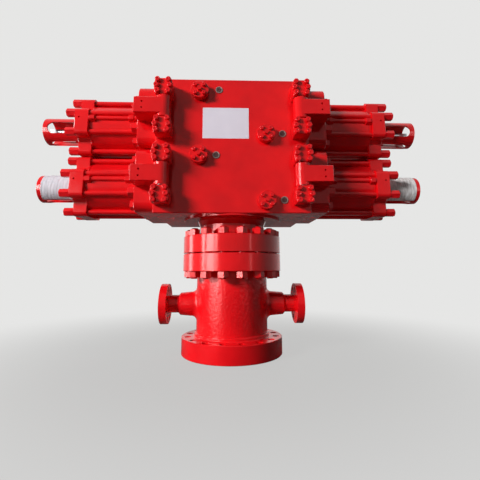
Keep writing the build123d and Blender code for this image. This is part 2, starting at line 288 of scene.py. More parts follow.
@dataclass(frozen=True)
class FloorFinish(Finish):
    """A floor that fades into the plain background, at distances in metres from the spool.

    The camera sees it fade from near_share at fade_start. Gloss mirrors it as it
    is up to mirror_start.
    """

    haze: str = BACKDROP
    near_share: float = 0.66
    fade_start: float = 0.7
    fade_end: float = 2.7
    mirror_start: float = 8.0
    mirror_end: float = 18.0

    def surface(self, tree: Tree, shader: bpy.types.Node, place: Socket) -> Socket:
        """Mix the background's colour in, more of it with the distance.

        Args:
            tree: the material's node tree.
            shader: the paint.
            place: object coordinates in metres.

        Returns:
            The mixed surface.
        """
        reach = add(tree, "ShaderNodeVectorMath", {0: place}, operation="LENGTH").outputs["Value"]
        path = add(tree, "ShaderNodeLightPath").outputs
        rays = {0: path["Is Glossy Ray"], 1: path["Is Transmission Ray"]}
        mirrored = add(tree, "ShaderNodeMath", rays, operation="MAXIMUM").outputs[0]
        views = (
            (path["Is Camera Ray"], self.fade_start, self.fade_end, self.near_share),
            (mirrored, self.mirror_start, self.mirror_end, 0.0),
        )
        shares = {}
        for number, (seen, start, end, least) in enumerate(views):
            span = {"Value": reach, "From Min": start, "From Max": end, "To Min": least}
            fade = add(tree, "ShaderNodeMapRange", span, interpolation_type="SMOOTHSTEP").outputs[0]
            faded = add(tree, "ShaderNodeMath", {0: seen, 1: fade}, operation="MULTIPLY")
            shares[number] = faded.outputs[0]
        share = add(tree, "ShaderNodeMath", shares, operation="MAXIMUM").outputs[0]
        plain = add(tree, "ShaderNodeEmission", {"Color": linear(self.haze), "Strength": 1.0}).outputs[0]
        return add(tree, "ShaderNodeMixShader", {0: share, 1: shader.outputs[0], 2: plain}).outputs[0]


# Alkyd enamel, sprayed over machined steel and left to flow out. It gives a deep wet red, clouded
# where the coat runs thicker, with hard mirror highlights that its orange peel makes waver. Real
# peel is 1 to 2 mm wide, too fine to show, so it is drawn 7 mm wide.
RED_ENAMEL = Finish(
    "red_gloss_enamel", colour="#e00e15", second="#ce0d14", clouds=Pattern(160.0),
    roughness=0.10, rough_end=0.17, smears=Pattern(40.0, 4.0),
    grain=Pattern(7.0), depth=0.05, sheen="#ffa4a2",
)
# The same enamel over nuts and screw heads, thick on their corners and thin on their flats. Each one
# takes a shade of its own from clouds about a nut wide, and its gloss is a little softer. Its peel
# is drawn 5 mm wide to show.
BOLT_ENAMEL = replace(
    RED_ENAMEL, name="red_bolt_enamel", colour="#e41019", second="#cb0d15", clouds=Pattern(60.0),
    roughness=0.13, rough_end=0.20, smears=Pattern(15.0, 4.0), grain=Pattern(5.0), depth=0.06,
)
# The same enamel over the forged spool. Its turned flanges give straight clean highlights, and the
# scaly skin of its waist breaks them up. Real scale is 3 to 5 mm wide, and is drawn 16 mm wide to
# show. The peel is drawn 7 mm wide as above.
CAST_ENAMEL = ForgedFinish(
    "red_cast_enamel", colour="#ec1019", second="#dc0e16", clouds=Pattern(160.0),
    roughness=0.14, rough_end=0.21, smears=Pattern(40.0, 4.0),
    grain=Pattern(7.0), depth=0.05, sheen="#ffa4a2",
)
# Alloy steel, ground round and wiped with oil, on pins, screws and rods. It gives a satin streak along
# the bar, drawn out round it by the grinding lines, and darker where the oil lies. The real lines
# are about 0.1 mm apart, and are drawn 1.6 mm apart to show.
GROUND_STEEL = Finish(
    "ground_steel", colour="#a9aaac", second="#77787a", clouds=Pattern(45.0, 3.0),
    roughness=0.24, rough_end=0.38, smears=Pattern(1.6, 1.0, 0.05),
    grain=Pattern(1.6, 1.0, 0.05), depth=0.02, share=0.4, metallic=1.0,
)
# Forged steel with a phosphate coat, on the rams. It gives a dark grey that hardly shines, mottled by
# crystals that are far too fine to show, so the mottles are drawn 14 mm wide.
RAM_STEEL = Finish(
    "phosphated_steel", colour="#3f4042", second="#2b2c2e", clouds=Pattern(14.0, 5.0),
    roughness=0.56, rough_end=0.38, smears=Pattern(14.0, 5.0),
    grain=Pattern(3.5, 3.0), depth=0.12, share=0.7, metallic=0.6,
)
# Turned steel that was left bare, on the ports' collars. It gives a dull brown grey with freckles of
# rust, which are 1 to 2 mm wide and drawn 5 mm wide to show.
PLUG_STEEL = Finish(
    "weathered_plug_steel", colour="#94837d", second="#6f5d58", clouds=Pattern(5.0, 5.0),
    roughness=0.58, rough_end=0.40, smears=Pattern(5.0, 5.0),
    grain=Pattern(1.25, 3.0), depth=0.12, share=0.7, metallic=0.3,
)
# Cast iron, on the plugs set down in the ports' collars. Its dark matt red-brown is painted shade for the
# recess that the plug sits in, mottled at random. The pores are under 1 mm wide, and are drawn 4 mm wide
# to show.
PLUG_SHADE_PAINTED = Finish(
    "plug_iron_with_painted_shade", colour="#5e3f3c", second="#38201f", clouds=Pattern(4.0, 5.0),
    roughness=0.70, rough_end=0.52, smears=Pattern(4.0, 5.0),
    grain=Pattern(1.0, 3.0), depth=0.12, share=0.7, metallic=0.2,
)
# Nitrile rubber, moulded, on the packers and seals. It gives a soft black with a dusty bloom in
# patches 20 mm wide. The mould's own grain is about 0.2 mm, and is drawn 2 mm wide to show.
RUBBER = Finish(
    "nitrile_rubber", colour="#17171a", second="#34332f", clouds=Pattern(20.0, 4.0), most=0.8,
    roughness=0.45, rough_end=0.65, smears=Pattern(20.0, 4.0),
    grain=Pattern(2.0), depth=0.08, share=0.5,
)
# Coated paper, calendered smooth. It gives an even, slightly lilac white with a satin face, and bows
# of light across the cockles that damp has left in it.
SIGN_PAPER = Finish(
    "coated_sign_paper", colour="#dcd5df", second="#d6cfda", clouds=Pattern(120.0, 3.0),
    roughness=0.38, rough_end=0.50, smears=Pattern(120.0, 3.0),
    grain=Pattern(60.0, 3.0), depth=0.10,
)
# Polyethylene stretch film, blown thin and pulled round the guard in many layers. It gives a milky
# white with soft folds that run round the guard. The real folds are 1 to 3 mm wide, and are drawn
# 6 mm wide to show.
WHITE_WRAP = Finish(
    "white_wrap_film", colour="#cfcdd4", second="#bbb9c0", clouds=Pattern(12.0, 3.0, 0.22),
    roughness=0.55, rough_end=0.67, smears=Pattern(12.0, 3.0, 0.22),
    grain=Pattern(6.0, 3.0, 0.22), depth=1.3, shine=0.1,
)
# The same film, copied for the guard that stands in shade, with its colour lifted towards white to make
# up for that shade: painted light. It is glossier, and its folds are deeper.
WRAP_LIFTED_FOR_SHADE = replace(
    WHITE_WRAP, name="wrap_film_lifted_for_shade", colour="#fffefe", second="#bab3b0",
    roughness=0.42, rough_end=0.54, depth=1.8, shine=0.4,
)
# Matt floor paint, rolled. It gives a plain pale ground that takes the shadow and hardly shines.
PALE_FLOOR = FloorFinish(
    "pale_floor_paint", colour="#656463", second="#605f5e", clouds=Pattern(900.0, 3.0),
    roughness=0.75, shine=0.2,
)


def facing(origin: Place, axis: Place, turn: float = 0.0) -> Matrix:
    """Stand a form's own z axis along an axis.

    Args:
        origin: where the form's origin goes.
        axis: direction of its z axis.
        turn: degrees about that axis.

    Returns:
        The matrix that does it.
    """
    aimed = Vector(axis).to_track_quat("Z", "Y").to_matrix().to_4x4()
    return Matrix.Translation(origin) @ aimed @ Matrix.Rotation(math.radians(turn), 4, "Z")


def rounds(*spots: Spot) -> list[Ring]:
    """Return round rings of these radii and heights."""
    return [(radius, height, Outline.ROUND) for radius, height in spots]


def hexes(*spots: Spot) -> list[Ring]:
    """Return hexagonal rings of these half widths across flats and heights."""
    return [(half_flats, height, Outline.HEX) for half_flats, height in spots]


def hexagon_radius(angle: float, half_flats: float) -> float:
    """Return a hexagon's radius at an angle, from half its width across flats."""
    sector = math.radians(HEX_TURN)
    return half_flats / math.cos((angle + sector / 2) % sector - sector / 2)


def turned(profile: list[Ring], segments: int = 24, closed: bool = False) -> Form:
    """Spin a profile about the z axis.

    Args:
        profile: rings as radius, height and outline; a hexagon's radius is half its width across flats.
        segments: steps of the full turn, a multiple of 12 for hexagons.
        closed: whether the last ring joins the first, as on a nut with its hole.

    Returns:
        The form, with its poles closed.
    """
    form = bmesh.new()
    hexed = form.verts.layers.int.new("hexed")
    rings = []
    for radius, height, outline in profile:
        vert = form.verts.new((radius, 0, height))
        vert[hexed] = outline.value
        rings.append(vert)
    pairs = list(zip(rings, rings[1:]))
    if closed:
        pairs.append((rings[-1], rings[0]))
    edges = [form.edges.new(pair) for pair in pairs]
    bmesh.ops.spin(form, geom=rings + edges, cent=(0, 0, 0), axis=(0, 0, 1), angle=math.tau,
                   steps=segments, use_merge=True, use_duplicate=False)
    for vert in form.verts:
        if vert[hexed]:
            angle = math.atan2(vert.co.y, vert.co.x)
            reach = hexagon_radius(angle, math.hypot(vert.co.x, vert.co.y))
            vert.co.x = reach * math.cos(angle)
            vert.co.y = reach * math.sin(angle)
    form.verts.layers.int.remove(hexed)
    bmesh.ops.remove_doubles(form, verts=form.verts, dist=MERGE_DISTANCE)
    bmesh.ops.recalc_face_normals(form, faces=form.faces)
    return form


def threaded(radius: float, start: float, end: float, pitch: float) -> list[Ring]:
    """Return the rings of a thread along a bar.

    Args:
        radius: outside radius of the thread.
        start: height at which it starts.
        end: height at which it ends.
        pitch: rise of one turn.

    Returns:
        Crests and roots in turn, from start to end.
    """
    turns = max(1, int(abs(end - start) / pitch))
    step = (end - start) / turns
    rings = []
    for i in range(turns):
        rings += rounds((radius, start + i * step))
        rings += rounds((radius - THREAD_DEPTH * pitch, start + (i + 0.5) * step))
    return rings + rounds((radius, end))


def slab(width: float, height: float, depth: float) -> Form:
    """Return a box of these sizes along x, y and z, which stands on z = 0.

    Args:
        width: its size along x.
        height: its size along y.
        depth: its size along z.

    Returns:
        The box, centred about the z axis.
    """
    form = bmesh.new()
    bmesh.ops.create_cube(form, size=1.0)
    bmesh.ops.scale(form, vec=(width, height, depth), verts=form.verts)
    bmesh.ops.translate(form, verts=form.verts, vec=(0, 0, depth / 2))
    return form


def edges_along(form: Form, axis: int, reach: float) -> list[bmesh.types.BMEdge]:
    """Return the edges that run along an axis, numbered 0 to 2, for more than half this reach."""
    return [e for e in form.edges if abs(e.verts[0].co[axis] - e.verts[1].co[axis]) > reach / 2]


def sharp_edges(form: Form) -> list[bmesh.types.BMEdge]:
    """Return the edges whose two faces meet at a corner."""
    return [e for e in form.edges if len(e.link_faces) == 2 and e.calc_face_angle(0) > RIM_ANGLE]


def round_off(form: Form, edges: list[bmesh.types.BMEdge], radius: float, segments: int) -> None:
    """Round some of a form's edges.

    Args:
        form: whose edges they are.
        edges: those to round.
        radius: how far the rounding reaches.
        segments: its number of steps.
    """
    bmesh.ops.bevel(form, geom=edges, offset=radius, segments=segments, profile=0.5, affect="EDGES",
                    material=-1)


@dataclass(frozen=True)
class HexNut:
    """A heavy hexagon nut: its corners are cut back at both ends and its far hole is countersunk.

    The cuts are shares: chamfer of the width across flats, face of half that
    width, and countersink of the bore's radius.
    """

    flats: float
    height: float
    bore: float
    chamfer: float = 0.042
    face: float = 0.955
    countersink: float = 0.06

    def form(self) -> Form:
        """Return the nut, standing on z = 0 about its axis.

        Returns:
            The closed form, its hole through it.
        """
        half, cut, sink = self.flats / 2, self.chamfer * self.flats, self.countersink * self.bore
        top, face = self.height, self.face * half
        rings = rounds((self.bore, 0), (face, 0)) + hexes((half, cut), (half, top - cut))
        rings += rounds((face, top), (self.bore + sink, top), (self.bore, top - sink))
        return turned(rings, closed=True)


@dataclass(frozen=True)
class CapScrew:
    """A socket screw's head with a domed rim and a hexagon socket.

    The rim and the dome's steps inwards and downwards are shares of the radius
    and of the rim, the socket's floor is a share of the height, and its lip is
    cut lip_width wide and lip_depth deep.
    """

    radius: float
    height: float
    socket: float
    rim: float = 0.18
    floor: float = 0.9
    floor_width: float = 0.98
    lip_width: float = 0.7
    lip_depth: float = 0.5
    dome: tuple[Spot, ...] = ((1.0, 0.0), (0.55, 0.13), (0.18, 0.45), (0.0, 1.0))

    def form(self) -> Form:
        """Return the head, standing on z = 0 about its axis.

        Returns:
            The closed form.
        """
        top, rim = self.height, self.rim * self.radius
        half, floor = self.socket / 2, self.floor * self.height
        rings = rounds((0, floor)) + hexes((half * self.floor_width, floor))
        rings += hexes((half, top - self.lip_depth), (half + self.lip_width, top))
        rings += rounds(*((self.radius - inset * rim, top - drop * rim) for inset, drop in self.dome))
        return turned(rings + rounds((self.radius, 0), (0, 0)))


@dataclass(frozen=True)
class ThreadedEnd:
    """The end of a bolt or rod that stands out of its nut, cut back at its tip."""

    radius: float
    height: float
    pitch: float = 2.4
    tip_height: float = 1.2
    tip_cut: float = 1.6

    def form(self) -> Form:
        """Return the end, standing on z = 0 about its axis.

        Returns:
            The closed form.
        """
        rings = rounds((0, 0)) + threaded(self.radius, 0, self.height - self.tip_height, self.pitch)
        rings += rounds((self.radius - self.tip_cut, self.height), (0, self.height))
        return turned(rings)


@dataclass(frozen=True)
class SlotRing:
    """A flat seal that follows a slot's outline: round ends and straight sides."""

    half_width: float
    half_height: float
    wide: float
    thick: float
    edge: float
    edge_steps: int = 2
    segments: int = 48

    def loop(self, form: Form, inset: float) -> None:
        """Draw the slot's outline into a form.

        Args:
            form: form that gets the loop.
            inset: how far inside the seal's outside it runs.
        """
        radius, shift = self.half_height - inset, self.half_width - self.half_height
        turn = Matrix.Rotation(math.pi / self.segments, 3, "Z")
        made = bmesh.ops.create_circle(form, cap_ends=False, segments=self.segments, radius=radius)
        bmesh.ops.rotate(form, verts=made["verts"], cent=(0, 0, 0), matrix=turn)
        for side in Side:
            half = [v for v in made["verts"] if v.co.x * side > 0]
            bmesh.ops.translate(form, verts=half, vec=(side * shift, 0, 0))

    def form(self) -> Form:
        """Return the seal, lying on z = 0.

        Returns:
            The closed form, its long edges rounded.
        """
        form = bmesh.new()
        self.loop(form, 0.0)
        self.loop(form, self.wide)
        band = bmesh.ops.bridge_loops(form, edges=form.edges)["faces"]
        lifted = bmesh.ops.extrude_face_region(form, geom=band)["geom"]
        corners = [v for v in lifted if isinstance(v, bmesh.types.BMVert)]
        bmesh.ops.translate(form, verts=corners, vec=(0, 0, self.thick))
        bmesh.ops.recalc_face_normals(form, faces=form.faces)
        round_off(form, sharp_edges(form), self.edge, self.edge_steps)
        return form


class Piece:
    """One new piece of the object, gathered from forms in millimetres."""

    def __init__(self, name: str) -> None:
        """Start an empty piece.

        Args:
            name: the object's name.
        """
        self.name = name
        self.mesh = bmesh.new()

    def place(self, form: Form, at: Matrix) -> None:
        """Copy a form into the piece.

        Args:
            form: what to copy.
            at: where its own frame goes.
        """
        copy = bpy.data.meshes.new(self.name + "_form")
        form.to_mesh(copy)
        first = len(self.mesh.verts)
        self.mesh.from_mesh(copy)
        bpy.data.meshes.remove(copy)
        self.mesh.verts.ensure_lookup_table()
        bmesh.ops.transform(self.mesh, matrix=at, verts=self.mesh.verts[first:])

    def finish(self, finish: Finish, body: str, slot: Slot | None = None,
               replaces: tuple[str, ...] = ()) -> bpy.types.Object:
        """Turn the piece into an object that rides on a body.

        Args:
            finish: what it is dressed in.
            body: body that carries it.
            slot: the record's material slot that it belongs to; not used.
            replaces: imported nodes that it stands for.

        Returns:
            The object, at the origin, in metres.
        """
        bmesh.ops.scale(self.mesh, vec=(MM, MM, MM), verts=self.mesh.verts)
        for face in self.mesh.faces:
            face.smooth = True
        for edge in self.mesh.edges:
            edge.smooth = len(edge.link_faces) == 2 and edge.calc_face_angle(0) < SHARP_ANGLE
        data = bpy.data.meshes.new(self.name)
        self.mesh.to_mesh(data)
        self.mesh.free()
        made = bpy.data.objects.new(self.name, data)
        bpy.context.scene.collection.objects.link(made)
        data.materials.append(finish.material())
        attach(made, body)
        if replaces:
            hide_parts(*replaces)
        return made


def dress(node: str, finish: Finish) -> bpy.types.Object:
    """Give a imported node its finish.

    Args:
        node: its name.
        finish: what it is dressed in.

    Returns:
        The node's object.
    """
    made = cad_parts[node]
    for slot in made.material_slots:
        slot.material = finish.material()
    return made


@dataclass
class FlangeJoint:
    """Spool, body and the studs that bolt their flanges together."""

    circle: float = 295.3
    count: int = 16
    lower_seat: float = 537.3
    upper_seat: float = 768.7
    stud_radius: float = 20.6
    stud_cut: float = 2.5
    stud_lead: float = 1.5
    tip: float = 7.5
    pitch: float = 3.2
    nut_flats: float = 65.1
    nut_height: float = 40.6
    nut_bite: float = 0.4
    nut_turn: float = 11.0
    turn_spread: float = 10.0
    seed: int = 11

    def build(self) -> list[bpy.types.Object]:
        """Dress the forgings and bolt them.

        Returns:
            The dressed nodes and the new pieces.
        """
        return [dress("spool", CAST_ENAMEL), dress("body_block", RED_ENAMEL), self.studs(), *self.nuts()]

    def spots(self) -> list[Spot]:
        """Return the studs' places on the bolt circle."""
        angles = [(i + 0.5) * math.tau / self.count for i in range(self.count)]
        return [(self.circle * math.cos(angle), self.circle * math.sin(angle)) for angle in angles]

    def studs(self) -> bpy.types.Object:
        """Make the studs, threaded where they stand out of the nuts.

        Returns:
            The piece that holds them all.
        """
        low = self.lower_seat - self.nut_height - self.tip
        length = self.upper_seat + self.nut_height + self.tip - low
        r, end, lead = self.stud_radius, self.stud_radius - self.stud_cut, 2 * self.tip
        rings = rounds((0, 0), (end, 0))
        rings += threaded(r, self.stud_lead, lead, self.pitch)
        rings += threaded(r, length - lead, length - self.stud_lead, self.pitch)
        stud = turned(rings + rounds((end, length), (0, length)))
        piece = Piece("flange_studs")
        for x, y in self.spots():
            piece.place(stud, Matrix.Translation((x, y, low)))
        return piece.finish(BOLT_ENAMEL, FRAME_BODY, Slot.RED)

    def nuts(self) -> list[bpy.types.Object]:
        """Make the nuts above and below the flanges, each stopped at its own angle.

        Returns:
            One piece for each row of nuts.
        """
        nut = HexNut(self.nut_flats, self.nut_height, self.stud_radius - self.nut_bite).form()
        draw = random.Random(self.seed)
        made = []
        rows = (("flange_nuts_lower", self.lower_seat, -1), ("flange_nuts_upper", self.upper_seat, 1))
        for name, level, way in rows:
            piece = Piece(name)
            for x, y in self.spots():
                turn = way * (self.nut_turn + draw.uniform(-self.turn_spread, self.turn_spread))
                piece.place(nut, facing((x, y, level), (0, 0, way), turn))
            made.append(piece.finish(BOLT_ENAMEL, FRAME_BODY, Slot.RED))
        return made


@dataclass
class HingeSeats:
    """Bolted seats that hold the four hinge pins."""

    levels: tuple[float, ...] = (LOWER_LEVEL, UPPER_LEVEL)
    pin_x: float = 433.0
    rise: float = 127.5
    width: float = 116.0
    end_width: float = 95.0
    height: float = 105.0
    depth: float = 96.0
    edge: float = 3.0
    edge_steps: int = 3
    bulge_cuts: int = 11
    screw: CapScrew = CapScrew(16.2, 20.0, 9.0)
    screws: tuple[Spot, ...] = (
        (-33.5, -37.0), (33.5, -37.0), (-33.5, 37.0), (33.5, 37.0), (-41.0, 0.0), (41.0, 0.0),
    )
    seed: int = 5

    def places(self) -> list[Spot]:
        """Return the centre of every seat on the front face."""
        return [(side * self.pin_x, level + way * self.rise)
                for level in self.levels for side in Side for way in (-1, 1)]

    def block(self) -> Form:
        """Make one seat: a block whose long sides bulge, with rounded edges.

        Returns:
            The block, standing on z = 0.
        """
        form = slab(self.end_width, self.height, self.depth)
        upright = edges_along(form, 1, self.height)
        bmesh.ops.subdivide_edges(form, edges=upright, cuts=self.bulge_cuts, use_grid_fill=True)
        half, bulge = self.height / 2, (self.width - self.end_width) / 2
        for vert in form.verts:
            vert.co.x += math.copysign(bulge * (1 - (vert.co.y / half) ** 2), vert.co.x)
        round_off(form, sharp_edges(form), self.edge, self.edge_steps)
        return form

    def build(self) -> list[bpy.types.Object]:
        """Make the seats and their screws, and dress the pins.

        Returns:
            The new pieces and the dressed pins.
        """
        seats, screws = Piece("hinge_seat_blocks"), Piece("hinge_seat_screws")
        block, screw = self.block(), self.screw.form()
        draw = random.Random(self.seed)
        for x, z in self.places():
            seats.place(block, facing((x, FRONT_FACE, z), FRONT))
            for dx, dz in self.screws:
                at = (x + dx, FRONT_FACE - self.depth, z + dz)
                screws.place(screw, facing(at, FRONT, draw.uniform(0, HEX_TURN)))
        return [
            seats.finish(RED_ENAMEL, FRAME_BODY, Slot.RED, ("hinge_seats",)),
            screws.finish(BOLT_ENAMEL, FRAME_BODY, Slot.RED),
            dress("hinge_pins", GROUND_STEEL),
        ]


@dataclass
class FrontFace:
    """Round covers, port plugs and the bare white sheet on the front face."""

    cover_face: float = -382.0
    covers: tuple[Spot, ...] = ((-212.0, 1258.5), (213.0, 967.5), (-212.0, 1691.5), (213.0, 1400.5))
    cover_reach: float = 28.0
    cover_screw: CapScrew = CapScrew(13.5, 16.0, 7.0)
    ports: tuple[Spot, ...] = ((-104.0, 1262.5), (324.0, 972.5), (-88.0, 1709.5), (322.0, 1409.5))
    collar: tuple[Spot, ...] = (
        (16.5, 0.0), (23.5, 0.0), (23.5, 3.4), (21.9, 5.0), (17.7, 5.0), (16.5, 4.0),
    )
    plug: tuple[Spot, ...] = ((0.0, 0.0), (16.4, 0.0), (16.4, 1.6), (11.0, 1.6), (9.6, 3.2))
    plug_socket: tuple[Spot, ...] = ((6.8, 3.2), (6.4, 0.8))
    sheet_centre: Spot = (-44.0, 1479.0)
    sheet_size: Spot = (297.0, 210.0)
    sheet_thick: float = 0.8
    sheet_corner: float = 2.5
    corner_steps: int = 3
    seed: int = 3

    def build(self) -> list[bpy.types.Object]:
        """Make everything that sits on the front face.

        Returns:
            The dressed covers and the new pieces.
        """
        covers = dress("front_covers", RED_ENAMEL)
        return [covers, self.cover_screws(), *self.port_plugs(), self.white_sheet()]

    def cover_screws(self) -> bpy.types.Object:
        """Make the four screws on each cover.

        Returns:
            The piece that holds them all.
        """
        piece, draw = Piece("cover_screws"), random.Random(self.seed)
        screw, reach = self.cover_screw.form(), self.cover_reach
        for x, z in self.covers:
            for dx in (-reach, reach):
                for dz in (-reach, reach):
                    at = (x + dx, self.cover_face, z + dz)
                    piece.place(screw, facing(at, FRONT, draw.uniform(0, HEX_TURN)))
        return piece.finish(BOLT_ENAMEL, FRAME_BODY, Slot.RED)

    def port_plugs(self) -> list[bpy.types.Object]:
        """Make each port's collar, and the plug screwed into it, darkened with painted shade for its
        recess.

        Returns:
            The collars and the plugs.
        """
        collar = turned(rounds(*self.collar), closed=True)
        floor = self.plug_socket[-1][1]
        plug = turned(rounds(*self.plug) + hexes(*self.plug_socket) + rounds((0, floor)))
        collars, plugs, draw = Piece("port_collars"), Piece("port_plug_screws"), random.Random(self.seed)
        for x, z in self.ports:
            at = facing((x, FRONT_FACE, z), FRONT, draw.uniform(0, HEX_TURN))
            collars.place(collar, at)
            plugs.place(plug, at)
        return [
            collars.finish(PLUG_STEEL, FRAME_BODY, Slot.PLUG, ("port_plugs",)),
            # The plug's dark finish is painted shade for the recess that it sits in.
            plugs.finish(PLUG_SHADE_PAINTED, FRAME_BODY, Slot.PLUG),
        ]

    def white_sheet(self) -> bpy.types.Object:
        """Make the blank sheet, flat on the face.

        Returns:
            The sheet.
        """
        form = slab(*self.sheet_size, self.sheet_thick)
        round_off(form, edges_along(form, 2, self.sheet_thick), self.sheet_corner, self.corner_steps)
        piece = Piece("blank_sign_sheet")
        x, z = self.sheet_centre
        piece.place(form, facing((x, FRONT_FACE, z), FRONT))
        return piece.finish(SIGN_PAPER, FRAME_BODY)


@dataclass
class Wrap:
    """Film wrapped over the front, top and back of a lower guard.

    Angles are degrees round the guard from its front upwards. The film sinks by
    dent into the guard's side slots, over slot_share of the guard's height, and
    its wrinkles are a sum of waves, each with so many turns along and round it.
    """

    finish: Finish
    start: float = 1076.0
    end: float = 1318.0
    radius: float = 98.2
    low_angle: float = -58.0
    high_angle: float = 238.0
    dent: float = 2.2
    dent_ease: float = 0.5
    slot_share: float = 0.34
    wrinkle: float = 1.3
    wrinkle_lift: float = 0.3
    waves: int = 7
    turns_along: Spot = (2.0, 13.0)
    turns_round: Spot = (1.0, 4.0)
    thick: float = 0.5
    columns: int = 60
    rows: int = 90
    seed: int = 21

    def build(self, name: str, body: str, guard: str, side: Side, level: float) -> bpy.types.Object:
        """Args:
            name: the piece's name.
            body: body that carries it.
            guard: node that it is stretched over; not used.
            side: end of the rams that the guard stands at.
            level: height of the guard's axis.

        Returns:
            The wrap.
        """
        form = bmesh.new()
        bmesh.ops.create_grid(form, x_segments=self.columns, y_segments=self.rows, size=0.5)
        draw = random.Random(self.seed + side)
        spans = (self.turns_along, self.turns_round, (0, math.tau))
        waves = [tuple(draw.uniform(*span) for span in spans) for _ in range(self.waves)]
        arc = math.radians(self.high_angle - self.low_angle)
        for vert in form.verts:
            along, around = vert.co.x + 0.5, vert.co.y + 0.5
            angle = math.radians(self.low_angle) + arc * around
            ripple = sum(math.sin(a * math.tau * along + b * angle + c) for a, b, c in waves) / len(waves)
            ease = math.sin(math.pi * min(1, max(0, along))) ** self.dent_ease
            sink = math.exp(-(math.sin(angle) / self.slot_share) ** 2) * ease
            reach = self.radius + self.wrinkle * (ripple + self.wrinkle_lift) - self.dent * sink
            x = side * (self.start + (self.end - self.start) * along)
            vert.co = (x, -reach * math.cos(angle), level + reach * math.sin(angle))
        bmesh.ops.recalc_face_normals(form, faces=form.faces)
        if sum(f.normal.z for f in form.faces) < 0:
            bmesh.ops.reverse_faces(form, faces=form.faces)
        piece = Piece(name)
        piece.place(form, Matrix.Identity(4))
        made = piece.finish(self.finish, body)
        wall = made.modifiers.new("wall", "SOLIDIFY")
        wall.thickness = self.thick * MM
        wall.offset = 1.0
        return made


@dataclass
class Door:
    """One hinged bonnet with its cylinder, guard, screw and ram.

    Places on it are given across the door's axis, as y and height above the axis.
    """

    side: Side
    level: float
    name: str
    wrap: Wrap | None = None
    painted: tuple[str, ...] = (
        "bonnet", "hinge_arm", "tie_rods", "oil_tube", "cylinder_head", "lock_guard",
    )
    ground: tuple[str, ...] = ("locking_screw", "ram_rod")
    bonnet_face: float = 621.0
    bonnet_inner: float = 491.4
    head_inner: float = 984.0
    head_face: float = 1074.0
    barrel_radius: float = 185.0
    barrel_length: float = 363.0
    barrel_edge: float = 3.0
    barrel_groove: float = 14.0
    barrel_steps: int = 72
    sleeve_radius: float = 18.0
    bolts: tuple[Spot, ...] = ((262.0, 72.0), (200.0, 152.0))
    bolt_nut: HexNut = HexNut(64.0, 43.0, 16.0)
    bolt_tip: ThreadedEnd = ThreadedEnd(16.4, 46.0)
    bolt_end: tuple[Spot, ...] = ((0.0, 0.0), (15.6, 0.0), (17.0, -0.25), (0.0, -0.25))
    bolt_end_proud: float = 0.3
    rods: tuple[Spot, ...] = ((176.0, 68.0), (93.0, 180.0))
    rod_nut: HexNut = HexNut(51.0, 65.0, 15.5)
    rod_tip: ThreadedEnd = ThreadedEnd(15.9, 69.0)
    rod_nut_turn: float = 30.0
    tube: Spot = (-188.0, 26.0)
    union_nut: HexNut = HexNut(46.0, 36.0, 12.2)
    union_stems: Spot = (54.0, 8.0)
    collar_radius: float = 18.0
    collar_foot: Spot = (2.0, 5.0)
    collar_fillet: float = 1.5
    collar_lap: float = 0.5
    packer: SlotRing = SlotRing(192.5, 97.5, 10.6, 15.9, 2.5)
    packer_start: float = 238.05
    face_seal: SlotRing = SlotRing(261.9, 113.9, 9.8, 5.9, 1.2)
    face_seal_start: float = 491.2

    @property
    def body(self) -> str:
        """Return the body that this door's pieces ride on."""
        return self.name + "_door"

    def build(self) -> list[bpy.types.Object]:
        """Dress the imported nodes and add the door's barrel, fasteners, seals and wrap.

        Returns:
            The dressed nodes and the new pieces.
        """
        made = [dress(f"{self.name}_{part}", RED_ENAMEL) for part in self.painted]
        made += [dress(f"{self.name}_{part}", GROUND_STEEL) for part in self.ground]
        made += [dress(f"{self.name}_ram", RAM_STEEL), self.barrel(), *self.bonnet_bolts()]
        made += [self.head_nuts(), self.tube_unions(), *self.seals()]
        if self.wrap:
            guard = f"{self.name}_lock_guard"
            made.append(self.wrap.build(f"{self.name}_wrap", self.body, guard, self.side, self.level))
        return made

    def quadrants(self, spots: tuple[Spot, ...]) -> list[Spot]:
        """Return spots mirrored to all four quarters about the door's axis."""
        return [(sy * y, self.level + sz * z) for y, z in spots for sy in (-1, 1) for sz in (-1, 1)]

    def outward(self, reach: float, y: float, z: float, turn: float = 0.0) -> Matrix:
        """Return a place on the door, its z axis away from the bore."""
        return facing((self.side * reach, y, z), (self.side, 0, 0), turn)

    def barrel(self) -> bpy.types.Object:
        """Make the cylinder's tube, which fills the ring of tie rods, and the paint on the rods.

        Returns:
            The piece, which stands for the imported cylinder.
        """
        r, edge, length = self.barrel_radius, self.barrel_edge, self.barrel_length
        width = 2 * edge
        rings = rounds((0, 0), (r - edge, 0), (r, edge))
        for start in (self.barrel_groove, length - self.barrel_groove - width):
            end = start + width
            rings += rounds((r, start), (r - edge, start), (r - edge, end), (r, end))
        rings += rounds((r, length - edge), (r - edge, length), (0, length))
        piece = Piece(f"{self.name}_barrel")
        piece.place(turned(rings, self.barrel_steps), self.outward(self.bonnet_face, 0, self.level))
        sleeve = turned(rounds((0, 0), *((self.sleeve_radius, end) for end in (0, length)), (0, length)))
        for y, z in self.quadrants(self.rods):
            piece.place(sleeve, self.outward(self.bonnet_face, y, z))
        return piece.finish(RED_ENAMEL, self.body, Slot.RED, (f"{self.name}_cylinder",))

    def bonnet_bolts(self) -> list[bpy.types.Object]:
        """Make the bolts through the bonnet: nut outside, flush end inside.

        Returns:
            The outside and the inside.
        """
        outside, inside = Piece(f"{self.name}_bonnet_bolts"), Piece(f"{self.name}_bonnet_bolt_ends")
        nut, tip, end = self.bolt_nut.form(), self.bolt_tip.form(), turned(rounds(*self.bolt_end))
        for y, z in self.quadrants(self.bolts):
            outside.place(nut, self.outward(self.bonnet_face, y, z))
            outside.place(tip, self.outward(self.bonnet_face, y, z))
            reach = self.side * (self.bonnet_inner - self.bolt_end_proud)
            inside.place(end, facing((reach, y, z), (-self.side, 0, 0)))
        return [
            outside.finish(BOLT_ENAMEL, self.body, Slot.RED),
            inside.finish(RAM_STEEL, self.body, Slot.RAM),
        ]

